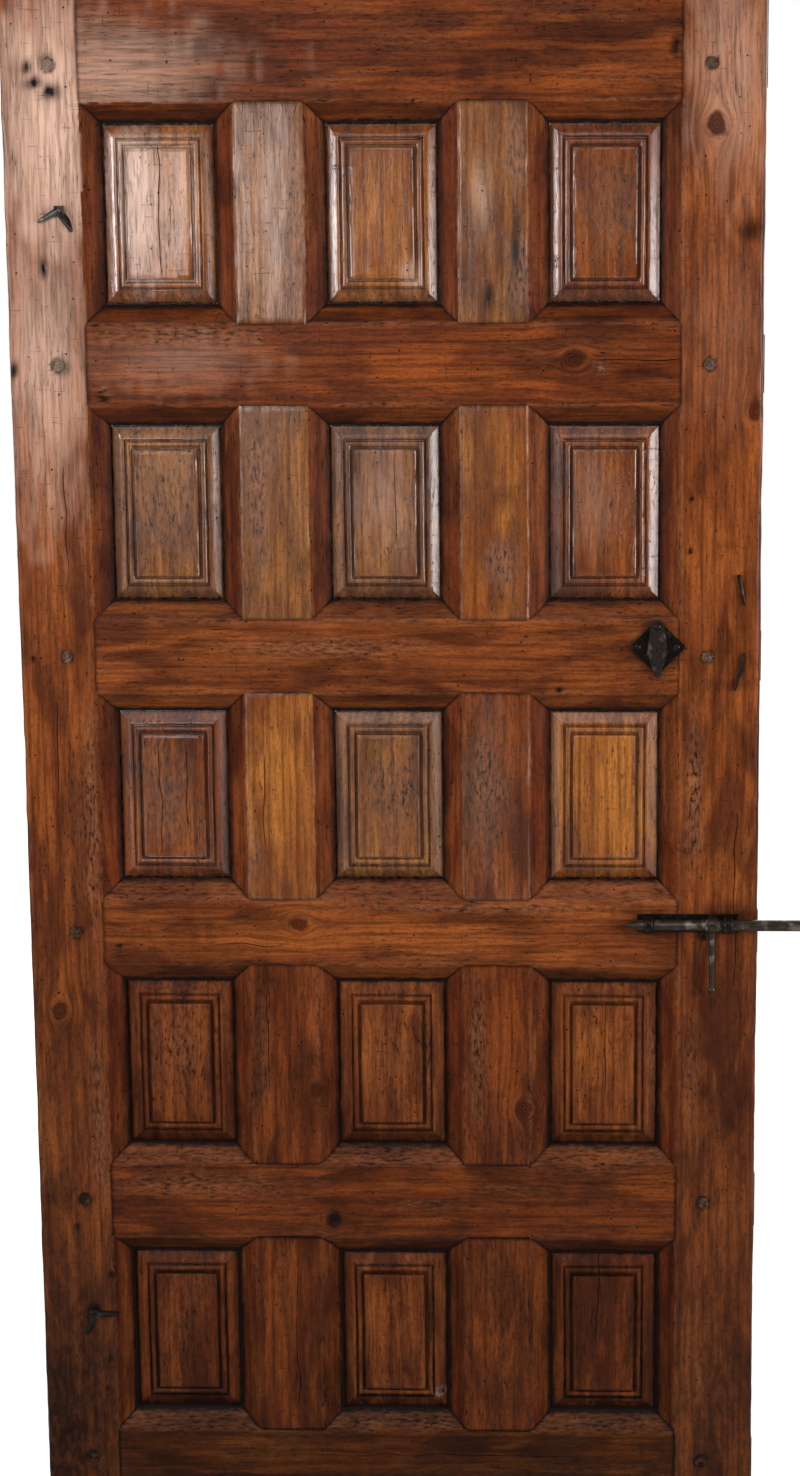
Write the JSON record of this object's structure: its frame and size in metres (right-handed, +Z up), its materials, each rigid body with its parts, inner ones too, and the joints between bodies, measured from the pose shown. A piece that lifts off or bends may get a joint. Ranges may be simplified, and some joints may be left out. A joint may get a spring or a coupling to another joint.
{
  "type": "antique panelled door leaf",
  "caption": "Old pegged frame-and-panel door leaf with raised panels, an iron sliding bolt, a covered keyhole, a back lock and hinge eyes.",
  "frame": {"origin": "centre of the leaf's bottom edge, at mid thickness", "axes": "+Z up along the stiles, +X towards the closing stile that carries the bolt, +Y from the front face towards the back"},
  "size_m": [0.959, 0.0954, 1.94],
  "materials": {
    "frame_wood": "old varnished pine, worn and weathered",
    "panel_wood": "old varnished pine, dry and worm-eaten",
    "peg_wood": "grey end-grain oak",
    "wrought_iron": "black hand-forged iron, oiled and worn"
  },
  "bodies": {
    "leaf": {"left_stile": "frame_wood", "right_stile": "frame_wood", "rail_1": "frame_wood", "rail_2": "frame_wood", "rail_3": "frame_wood", "rail_4": "frame_wood", "rail_5": "frame_wood", "rail_6": "frame_wood", "muntin_1_left": "frame_wood", "muntin_1_right": "frame_wood", "muntin_2_left": "frame_wood", "muntin_2_right": "frame_wood", "muntin_3_left": "frame_wood", "muntin_3_right": "frame_wood", "muntin_4_left": "frame_wood", "muntin_4_right": "frame_wood", "muntin_5_left": "frame_wood", "muntin_5_right": "frame_wood", "panel_1_left": "panel_wood", "panel_1_middle": "panel_wood", "panel_1_right": "panel_wood", "panel_2_left": "panel_wood", "panel_2_middle": "panel_wood", "panel_2_right": "panel_wood", "panel_3_left": "panel_wood", "panel_3_middle": "panel_wood", "panel_3_right": "panel_wood", "panel_4_left": "panel_wood", "panel_4_middle": "panel_wood", "panel_4_right": "panel_wood", "panel_5_left": "panel_wood", "panel_5_middle": "panel_wood", "panel_5_right": "panel_wood", "joint_pegs": "peg_wood", "upper_hinge_eye": "wrought_iron", "lower_hinge_eye": "wrought_iron", "escutcheon_plate": "wrought_iron", "escutcheon_nails": "wrought_iron", "cover_rivet": "wrought_iron", "bolt_plate": "wrought_iron", "inner_staple": "wrought_iron", "outer_staple": "wrought_iron", "lock_plate": "wrought_iron", "lock_case": "wrought_iron", "lock_nails": "wrought_iron"},
    "bolt": {"bolt_bar": "wrought_iron"},
    "handle": {"bolt_handle": "wrought_iron"},
    "cover": {"keyhole_cover": "wrought_iron"},
    "lock_bolt": {"lock_bolt": "wrought_iron"}
  },
  "joints": [
    {"name": "bolt_slide", "type": "slide", "parent": "leaf", "child": "bolt", "axis": [1, 0, 0], "range_m": [-0.06, 0]},
    {"name": "handle_lift", "type": "hinge", "parent": "bolt", "child": "handle", "pos_m": [0.393, -0.0354, 0.82475], "axis": [-1, 0, 0], "range_deg": [0, 170]},
    {"name": "cover_swing", "type": "hinge", "parent": "leaf", "child": "cover", "pos_m": [0.3245, -0.0279, 1.19125], "axis": [0, 1, 0], "range_deg": [-85, 85]},
    {"name": "lock_bolt_slide", "type": "slide", "parent": "leaf", "child": "lock_bolt", "axis": [1, 0, 0], "range_m": [0, 0.036]}
  ]
}
